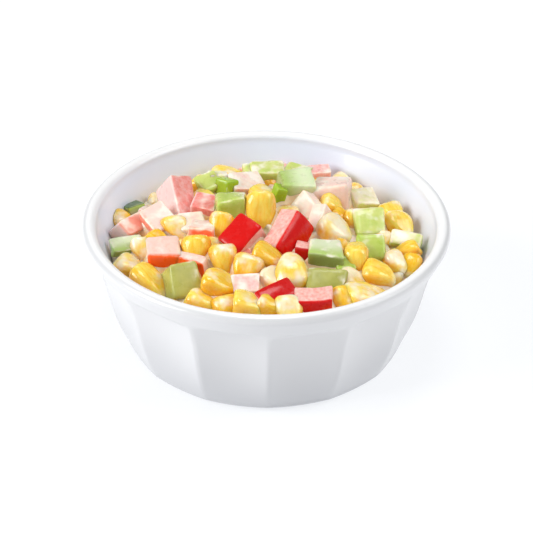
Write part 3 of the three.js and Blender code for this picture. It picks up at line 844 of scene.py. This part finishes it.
def food_material(name, paint, depth, glow, film=1.0, **values):
    """Moist food that light enters: paint gives its colour, with any painted shade, and over it lies a film
    of dressing that also paints highlight on upward faces and edges.
    """
    settings = {
        "Roughness": 0.3,
        "IOR": 1.42,
        "Subsurface_Weight": glow,
        "Subsurface_Scale": depth,
        "Subsurface_Radius": (1, 0.6, 0.3),
        "Coat_Weight": 0.35,
        "Coat_Roughness": 0.12,
        **values,
    }
    material = new_material(name, **settings)
    tree = material.node_tree
    shader = tree.nodes["Principled BSDF"]
    clings = maths(tree, "MULTIPLY", dressing_film(tree), film)
    thick = fade(tree, mottle(tree, FILM_BLOTCH), THICK_FROM, THICK_FULL)
    cream = mix_colour(tree, thick, CREAM, CREAM_THICK)
    painted(material, mix_colour(tree, clings, paint(tree), cream))
    patches = {"Value": mottle(tree, DRY_PATCH), "From Min": 0.35, "From Max": 0.65}
    ends = {"To Min": settings["Roughness"] - WETTER, "To Max": settings["Roughness"] + DRIER}
    wet = add_node(tree, "ShaderNodeMapRange", {**patches, **ends})
    tree.links.new(wet.outputs[0], shader.inputs["Roughness"])
    bumps = {"Height": mottle(tree, SKIN_GRAIN, 3), "Strength": 0.6, "Distance": SKIN_RELIEF}
    tree.links.new(add_node(tree, "ShaderNodeBump", bumps).outputs[0], shader.inputs["Normal"])
    return material


KERNEL_PALE = srgb(245, 222, 97)
KERNEL_GOLD = srgb(242, 189, 14)
KERNEL_DEEP = srgb(232, 140, 10)
KERNEL_TIP = srgb(244, 224, 164)
KERNEL_STREAKS = (2.6, 0.5, 2.6)
STREAK_STRENGTH = 2.2


def clouded_tone(tree, size, strength):
    """The piece's own tone, made to vary up and down by half the strength in clouds of this size."""
    cloud = maths(tree, "MULTIPLY_ADD", mottle(tree, size), strength, -strength / 2)
    return maths(tree, "ADD", attribute(tree, "tone"), cloud)


def kernel_colour(tree):
    """Pale gold with lighter and deeper streaks lengthways and pale at the tip; deeper and warmer at the
    sides and in the gaps, as painted shade.
    """
    place = attribute(tree, "local", "Vector")
    local = split(tree, place)
    lengthways = {"Vector": vector_maths(tree, "MULTIPLY", place, KERNEL_STREAKS), "Scale": 2, "Detail": 2}
    streaks = add_node(tree, "ShaderNodeTexNoise", lengthways).outputs["Fac"]
    streaks = maths(tree, "MULTIPLY_ADD", streaks, STREAK_STRENGTH, -STREAK_STRENGTH / 2)
    ripe = maths(tree, "ADD", clouded_tone(tree, 3 * MM, 0.6), streaks)
    skin = mix_colour(tree, ripe, KERNEL_PALE, KERNEL_GOLD)
    # Painted shade: a deeper, warmer gold at the kernel's sides and down in the gaps between pieces.
    side = fade(tree, maths(tree, "ABSOLUTE", local[0]), 0.5, 1.0)
    deep = maths(tree, "MAXIMUM", maths(tree, "MULTIPLY", side, 0.5), in_the_gap(tree, 0.75))
    skin = mix_colour(tree, deep, skin, KERNEL_DEEP)
    return mix_colour(tree, fade(tree, local[1], -0.6, -1.0), skin, KERNEL_TIP)


lay_kind(
    "corn",
    "sweetcorn",
    kernel,
    food_material("sweetcorn", kernel_colour, 2.0 * MM, 0.45, film=0.85, Roughness=0.2, Coat_Weight=0.75),
    shape_count=10,
    seed=3,
    unevenness=1.0 * MM,
    grain=230,
)


# ==============================
# Red pepper: squares cut from the wall of the fruit, bowed as the wall was. The waxy skin is on one side;
# the cut edges show the paler, wet flesh. Like all the dice they are cut by hand and a little uneven.
def block(cells):
    """A cube from -1 to 1 as a skin of small squares, smallest along its edges: its points and faces."""
    steps = np.sin(np.linspace(-np.pi / 2, np.pi / 2, cells + 1))
    index = {}
    points = []
    faces = []

    def corner(point):
        key = tuple(np.round(point, 6))
        if key not in index:
            index[key] = len(points)
            points.append(key)
        return index[key]

    for axis in range(3):
        for side in (-1, 1):
            for i in range(cells):
                for j in range(cells):
                    square = []
                    for a, b in ((0, 0), (1, 0), (1, 1), (0, 1)):
                        point = np.empty(3)
                        point[axis] = side
                        point[(axis + 1) % 3] = steps[i + a]
                        point[(axis + 2) % 3] = steps[j + b]
                        square.append(corner(point))
                    faces.append(square if side > 0 else square[::-1])
    return np.array(points), faces


BLOCK_CELLS = 10
BLOCK_POINTS, BLOCK_FACES = block(BLOCK_CELLS)


def soften(points, radius):
    """Rounds the edges of the block; the radius is a share of half its side."""
    core = np.clip(points, -(1 - radius), 1 - radius)
    out = points - core
    length = np.linalg.norm(out, axis=1, keepdims=True)
    return core + out / np.maximum(length, 1e-9) * radius


def shift_corners(points, offsets):
    """Moves the block's eight corners, and everything between them in proportion."""
    shares = (points + 1) / 2
    moved = points.copy()
    for corner in np.ndindex(2, 2, 2):
        weight = np.prod(np.where(corner, shares, 1 - shares), axis=1)
        moved += weight[:, None] * offsets[corner]
    return moved


def dice(draw, softness, skew):
    """A dice with soft edges and uneven corners: its points, its faces, and where each point was."""
    offsets = np.array([draw.uniform(-skew, skew) for _ in range(24)]).reshape(2, 2, 2, 3)
    points = soften(BLOCK_POINTS, softness)
    return fit_unit(shift_corners(points, offsets)), BLOCK_FACES, BLOCK_POINTS


PEPPER_SKIN = srgb(226, 14, 8)
PEPPER_DARK = srgb(156, 4, 6)
PEPPER_FLESH = srgb(234, 150, 138)
PEPPER_PALE = srgb(238, 200, 190)


def bowed(draw):
    points, faces, local = dice(draw, 0.16, 0.1)
    bow = draw.uniform(0.15, 0.35)
    points[:, 2] -= bow * points[:, 0] ** 2 + 0.12 * points[:, 1] ** 2
    return fit_unit(points), faces, local


def place_in_piece(tree):
    """Across, along and high in the piece's own block, each from -1 to 1."""
    return split(tree, attribute(tree, "local", "Vector"))


def pepper_colour(tree):
    local = place_in_piece(tree)
    grain = mottle(tree, 1.1 * MM, 3)
    skin = mix_colour(tree, maths(tree, "ADD", attribute(tree, "tone"), -0.3), PEPPER_SKIN, PEPPER_DARK)
    flesh = mix_colour(tree, fade(tree, grain, 0.2, 0.8), PEPPER_FLESH, PEPPER_PALE)
    return mix_colour(tree, fade(tree, local[2], 0.72, 0.9), flesh, skin)


lay_kind(
    "pepper",
    "red_pepper",
    bowed,
    food_material(
        "red_pepper",
        pepper_colour,
        1.2 * MM,
        0.2,
        film=0.04,
        Roughness=0.22,
        Specular_IOR_Level=0.25,
        Coat_Weight=0.35,
        Coat_Roughness=0.08,
    ),
    shape_count=5,
    seed=11,
    unevenness=0.6 * MM,
    grain=160,
)


# ==============================
# Cucumber: dice with the thin dark skin left on one side, and pale, wet flesh that is greener next to it.
# They are cut by hand and lie loose in the dressing.
CUCUMBER_SKIN = srgb(162, 171, 94)
CUCUMBER_DARK = srgb(80, 110, 58)
CUCUMBER_RIND = srgb(171, 195, 101)
CUCUMBER_FLESH = srgb(218, 230, 187)
CUCUMBER_CORE = srgb(192, 184, 172)


def cucumber_colour(tree):
    local = place_in_piece(tree)
    tone = attribute(tree, "tone")
    flesh = mix_colour(tree, tone, CUCUMBER_FLESH, CUCUMBER_CORE)
    flesh = mix_colour(tree, fade(tree, local[2], -0.4, 0.9), flesh, CUCUMBER_RIND)
    skin = mix_colour(tree, tone, CUCUMBER_SKIN, CUCUMBER_DARK)
    return mix_colour(tree, fade(tree, local[2], 0.8, 0.95), flesh, skin)


lay_kind(
    "cucumber",
    "cucumber",
    lambda draw: dice(draw, 0.2, 0.16),
    food_material("cucumber", cucumber_colour, 2.5 * MM, 0.5, Subsurface_Radius=(0.7, 1, 0.5)),
    shape_count=5,
    seed=5,
    unevenness=0.6 * MM,
    grain=150,
)


# ==============================
# Celery: short lengths of raw stalk, ribbed along the outside, green and half clear, cut across by hand
# and held by the dressing.
CELERY_DEEP = srgb(156, 185, 39)
CELERY_PALE = srgb(221, 223, 142)
RIB_RATE = 7
RIB_HEIGHT = 0.02


def celery_dice(draw):
    points, faces, local = dice(draw, 0.24, 0.18)
    points[:, 2] += np.sin(local[:, 0] * RIB_RATE) * RIB_HEIGHT * (local[:, 2] > 0.5)
    return fit_unit(points), faces, local


def celery_colour(tree):
    return mix_colour(tree, clouded_tone(tree, 4 * MM, 0.9), CELERY_PALE, CELERY_DEEP)


lay_kind(
    "celery",
    "celery",
    celery_dice,
    food_material("celery", celery_colour, 2.5 * MM, 0.5, Subsurface_Radius=(0.7, 1, 0.4)),
    shape_count=6,
    seed=8,
    unevenness=0.7 * MM,
    grain=150,
)


# ==============================
# Pickle: dice of pickled cucumber, olive green and a little clear. They are cut by hand like the fresh
# ones and held by the dressing.
PICKLE_LIGHT = srgb(193, 191, 105)
PICKLE_DARK = srgb(142, 144, 49)


def pickle_colour(tree):
    return mix_colour(tree, clouded_tone(tree, 4 * MM, 1.0), PICKLE_LIGHT, PICKLE_DARK)


lay_kind(
    "pickle",
    "pickle",
    lambda draw: dice(draw, 0.24, 0.18),
    food_material("pickle", pickle_colour, 2.0 * MM, 0.4, Subsurface_Radius=(0.8, 1, 0.4)),
    shape_count=5,
    seed=9,
    unevenness=0.5 * MM,
    grain=150,
)


# ==============================
# Crab stick: short lengths of pressed, fibrous white fish with an orange-red skin on one side, cut across
# the stick and held by the dressing.
CRAB_SKIN = srgb(248, 94, 25)
CRAB_WHITE = srgb(238, 212, 202)
CRAB_BLUSH = srgb(236, 190, 172)


def crab_colour(tree):
    local = place_in_piece(tree)
    tone = attribute(tree, "tone")
    fibres = mottle(tree, 1.2 * MM, 3, (1, 1, 0.3))
    body = mix_colour(tree, maths(tree, "MULTIPLY", fibres, tone), CRAB_WHITE, CRAB_BLUSH)
    skin = maths(tree, "MULTIPLY", fade(tree, local[2], 0.6, 0.95), maths(tree, "ADD", tone, 0.2))
    return mix_colour(tree, maths(tree, "MINIMUM", skin, 1), body, CRAB_SKIN)


lay_kind(
    "crab",
    "crab_stick",
    lambda draw: dice(draw, 0.2, 0.18),
    food_material("crab_stick", crab_colour, 1.8 * MM, 0.4, Subsurface_Radius=(1, 0.5, 0.35)),
    shape_count=5,
    seed=13,
    unevenness=0.6 * MM,
    grain=150,
)


# ==============================
# Ham: blocks of cooked ham, pink with paler streaks along the grain and paler at one side, cut by hand
# from a thick slice.
HAM_RED = srgb(220, 101, 94)
HAM_PINK = srgb(230, 132, 121)
HAM_PALE = srgb(238, 210, 204)


def ham_colour(tree):
    local = place_in_piece(tree)
    streaks = mottle(tree, 1.6 * MM, 3, (1, 1, 0.35))
    share = maths(tree, "MULTIPLY_ADD", streaks, 1.4, -0.7)
    share = maths(tree, "ADD", share, attribute(tree, "tone"))
    meat = mix_colour(tree, share, HAM_PALE, HAM_PINK)
    veins = mottle(tree, 0.9 * MM, 3, (1, 1, 0.3))
    vein = maths(tree, "MULTIPLY", fade(tree, veins, 0.52, 0.72), 0.6)
    meat = mix_colour(tree, maths(tree, "MULTIPLY", vein, attribute(tree, "tone")), meat, HAM_RED)
    fat = maths(tree, "MULTIPLY", fade(tree, local[0], -0.75, -0.98), 0.85)
    return mix_colour(tree, fat, meat, HAM_PALE)


lay_kind(
    "ham",
    "ham",
    lambda draw: dice(draw, 0.15, 0.16),
    food_material("ham", ham_colour, 1.6 * MM, 0.35, Subsurface_Radius=(1, 0.45, 0.35)),
    shape_count=6,
    seed=17,
    unevenness=0.6 * MM,
    grain=150,
)


# ==============================
# The dressing: thick, pale mayonnaise that fills the gaps, rises against the pieces and binds the salad
# below. Its top is laid over the pieces' own heights; its underside follows the bowl.
GRID_STEP = 0.5 * MM
GRID_REACH = 54 * MM
BRIDGE = 1.6 * MM
LEVEL_BLUR = 0.9 * MM
SINK = 2.6 * MM
BED_DROP = 4.5 * MM
INTO_WALL = 0.15 * MM
OFF_WALL = 0.1 * MM
OFF_FLOOR = 0.3 * MM
EDGE_TRIES = np.linspace(44 * MM, HEAP_RADIUS + 1.5 * MM, 181)
RINGS = 96
UNDER_RINGS = 13
AROUND = 360
HOLLOW_BLUR = 4 * MM
HOLLOW_FROM = 0.2 * MM
HOLLOW_DEPTH = 1.6 * MM
# Warm colour for the dressing's random stains, and for painted shade in its hollows.
STAIN = srgb(242, 193, 113)


def heights_of_food(grid):
    """How high the pieces reach over each point of a square grid, and the bed where there are none."""
    tree_points = []
    tree_faces = []
    for piece in food:
        start = len(tree_points)
        tree_points += [v.co.copy() for v in piece.data.vertices]
        tree_faces += [[start + i for i in face.vertices] for face in piece.data.polygons]
    tree = BVHTree.FromPolygons(tree_points, tree_faces)
    heights = np.empty((len(grid), len(grid)))
    down = Vector((0, 0, -1))
    above = 2 * BOWL_HEIGHT
    for i, x in enumerate(grid):
        for j, y in enumerate(grid):
            bed = heap_height(x, y) - BED_DROP
            hit = tree.ray_cast(Vector((x, y, above)), down)[0]
            heights[i, j] = max(bed, hit.z) if hit else bed
    return heights


def spread(heights, radius, choose):
    """The highest or the lowest of the heights within a radius of each point."""
    reach = round(radius / GRID_STEP)
    padded = np.pad(heights, reach, mode="edge")
    size = len(heights)
    result = heights
    for i in range(-reach, reach + 1):
        for j in range(-reach, reach + 1):
            if i * i + j * j <= reach * reach:
                shifted = padded[reach + i : reach + i + size, reach + j : reach + j + size]
                result = choose(result, shifted)
    return result


def blur(heights, radius):
    reach = round(3 * radius / GRID_STEP)
    offsets = np.arange(-reach, reach + 1) * GRID_STEP
    weights = np.exp(-((offsets / radius) ** 2) / 2)
    weights /= weights.sum()
    for axis in (0, 1):
        padding = [(0, 0), (0, 0)]
        padding[axis] = (reach, reach)
        padded = np.pad(heights, padding, mode="edge")
        size = heights.shape[axis]
        heights = sum(w * np.take(padded, range(i, i + size), axis) for i, w in enumerate(weights))
    return heights


def sampled(field, grid, x, y):
    """The field's value at x and y, between the grid's points."""
    i = np.clip((x - grid[0]) / GRID_STEP, 0, len(grid) - 1.001)
    j = np.clip((y - grid[0]) / GRID_STEP, 0, len(grid) - 1.001)
    i0 = i.astype(int)
    j0 = j.astype(int)
    u = i - i0
    v = j - j0
    low = field[i0, j0] * (1 - u) + field[i0 + 1, j0] * u
    high = field[i0, j0 + 1] * (1 - u) + field[i0 + 1, j0 + 1] * u
    return low * (1 - v) + high * v


def dressing_level(heights):
    bridged = spread(spread(heights, BRIDGE, np.maximum), BRIDGE, np.minimum)
    return blur(bridged, LEVEL_BLUR) - SINK


def dressing_edge(level, grid, angles):
    """How far out the dressing reaches at each angle: to where its level meets the wall."""
    reach = EDGE_TRIES[:, None]
    z = sampled(level, grid, reach * np.sin(angles), -reach * np.cos(angles))
    outside = reach >= inner_radius(z) + INTO_WALL
    outside[-1] = True
    return reach[outside.argmax(0), 0]


def dressing_mesh(level, grid):
    angles = 2 * np.pi * np.arange(AROUND) / AROUND
    edge = dressing_edge(level, grid, angles)
    points = []
    for k in range(RINGS):
        r = edge * (k + 1) / RINGS
        x = r * np.sin(angles)
        y = -r * np.cos(angles)
        points.append(np.stack([x, y, sampled(level, grid, x, y)], 1))
    rim_z = points[-1][:, 2]
    bottom = FLOOR_THICKNESS + OFF_FLOOR
    for share in np.linspace(0, 1, UNDER_RINGS + 1)[1:]:
        z = rim_z + (bottom - rim_z) * share
        r = inner_radius(z) - OFF_WALL
        points.append(np.stack([r * np.sin(angles), -r * np.cos(angles), z], 1))
    middle = sampled(level, grid, np.zeros(1), np.zeros(1))[0]
    skin = np.concatenate([[[0, 0, middle]], *points, [[0, 0, bottom]]])
    mesh = bpy.data.meshes.new("dressing")
    mesh.from_pydata(skin.tolist(), [], ring_faces(len(points), AROUND))
    mesh.polygons.foreach_set("use_smooth", [True] * len(mesh.polygons))
    return mesh


def dressing_material():
    material = new_material(
        "dressing",
        Roughness=0.28,
        IOR=1.45,
        Subsurface_Weight=0.4,
        Subsurface_Scale=2 * MM,
        Subsurface_Radius=(1, 0.8, 0.55),
        Coat_Weight=0.3,
        Coat_Roughness=0.1,
    )
    tree = material.node_tree
    # Painted shade: the dressing is warmer and darker where it sinks between pieces; its random blotches are
    # stains.
    hollow = maths(tree, "MULTIPLY", attribute(tree, "hollow"), 0.8)
    blotch = maths(tree, "MULTIPLY", fade(tree, mottle(tree, 7 * MM), 0.4, 0.7), 0.5)
    stained = mix_colour(tree, maths(tree, "MAXIMUM", hollow, blotch), CREAM, STAIN)
    return painted(material, stained)


grid_half = round(GRID_REACH / GRID_STEP)
span = np.arange(-grid_half, grid_half + 1) * GRID_STEP
level = dressing_level(heights_of_food(span))
dressing = new_object("dressing", dressing_mesh(level, span))
dressing.data.materials.append(dressing_material())
top = mesh_points(dressing.data)
sunk = sampled(blur(level, HOLLOW_BLUR) - level, span, top[:, 0], top[:, 1])
mark(dressing.data, "hollow", smooth((sunk + HOLLOW_FROM) / HOLLOW_DEPTH))
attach(dressing, "root")
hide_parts("salad")

# Each piece's film of dressing thins out upwards, and the kernels' painted shade in the gaps fades out
# upwards, by how far a point stands clear of the dressing.
for piece in food:
    spots = mesh_points(piece.data)
    clear = spots[:, 2] - sampled(level, span, spots[:, 0], spots[:, 1])
    mark(piece.data, "clear", clear)


# ==============================
# The table and the light: a plain white sheet that glows a little, a large soft window low to the left,
# a weaker one to the right, a small lamp overhead and a bright, even room.
FLOOR_HALF = 3.0
LIT_POINT = Vector((0, 0, 30 * MM))


def white_floor():
    near = -FLOOR_HALF
    far = FLOOR_HALF
    mesh = bpy.data.meshes.new("floor")
    mesh.from_pydata([(near, near, 0), (far, near, 0), (far, far, 0), (near, far, 0)], [], [(0, 1, 2, 3)])
    sheet = new_material(
        "white_floor",
        Base_Color=(0.3, 0.3, 0.3, 1),
        Roughness=0.9,
        Emission_Color=(0.95, 0.97, 1, 1),
        Emission_Strength=0.72,
    )
    mesh.materials.append(sheet)
    floor = new_object("floor", mesh)


def window(name, place, size, power):
    light = bpy.data.lights.new(name, "AREA")
    light.shape = "RECTANGLE"
    light.size, light.size_y = size
    light.energy = power
    lamp = new_object(name, light)
    lamp.location = place
    lamp.rotation_euler = (LIT_POINT - Vector(place)).to_track_quat("-Z", "Y").to_euler()


white_floor()
window("ceiling", (0, 0.1, 1.2), (0.4, 0.4), 3.1)
window("left_window", (-1.02, -0.32, 0.66), (0.75, 0.65), 12.6)
window("right_window", (0.8, -0.1, 0.8), (0.7, 0.7), 5.8)
world = bpy.data.worlds.new("room")
world.use_nodes = True
glow = world.node_tree.nodes["Background"].inputs
glow["Color"].default_value = (0.97, 0.985, 1, 1)
glow["Strength"].default_value = 0.36
bpy.context.scene.world = world
bpy.context.scene.view_settings.view_transform = "Standard"


# ==============================
# The camera: in front of the bowl and looking down at it through a long lens, as the photograph does, and
# rolled by less than a degree.
CAMERA_RISE = math.radians(32.8)
CAMERA_DISTANCE = 700 * MM
CAMERA_ROLL = math.radians(0.62)
CAMERA_LENS = 142.6
BOWL_MIDDLE = Vector((0, 0, 22 * MM))
AIM = Vector((0.2 * MM, 0, 25.8 * MM))
camera = new_object("camera", bpy.data.cameras.new("camera"))
camera.data.sensor_width = 36
camera.data.lens = CAMERA_LENS
camera.data.clip_end = 20
back = Vector((0, -math.cos(CAMERA_RISE), math.sin(CAMERA_RISE)))
camera.location = BOWL_MIDDLE + back * CAMERA_DISTANCE
looking = (AIM - camera.location).to_track_quat("-Z", "Y").to_matrix()
camera.rotation_euler = (looking @ Matrix.Rotation(CAMERA_ROLL, 3, "Z")).to_euler()
bpy.context.scene.camera = camera
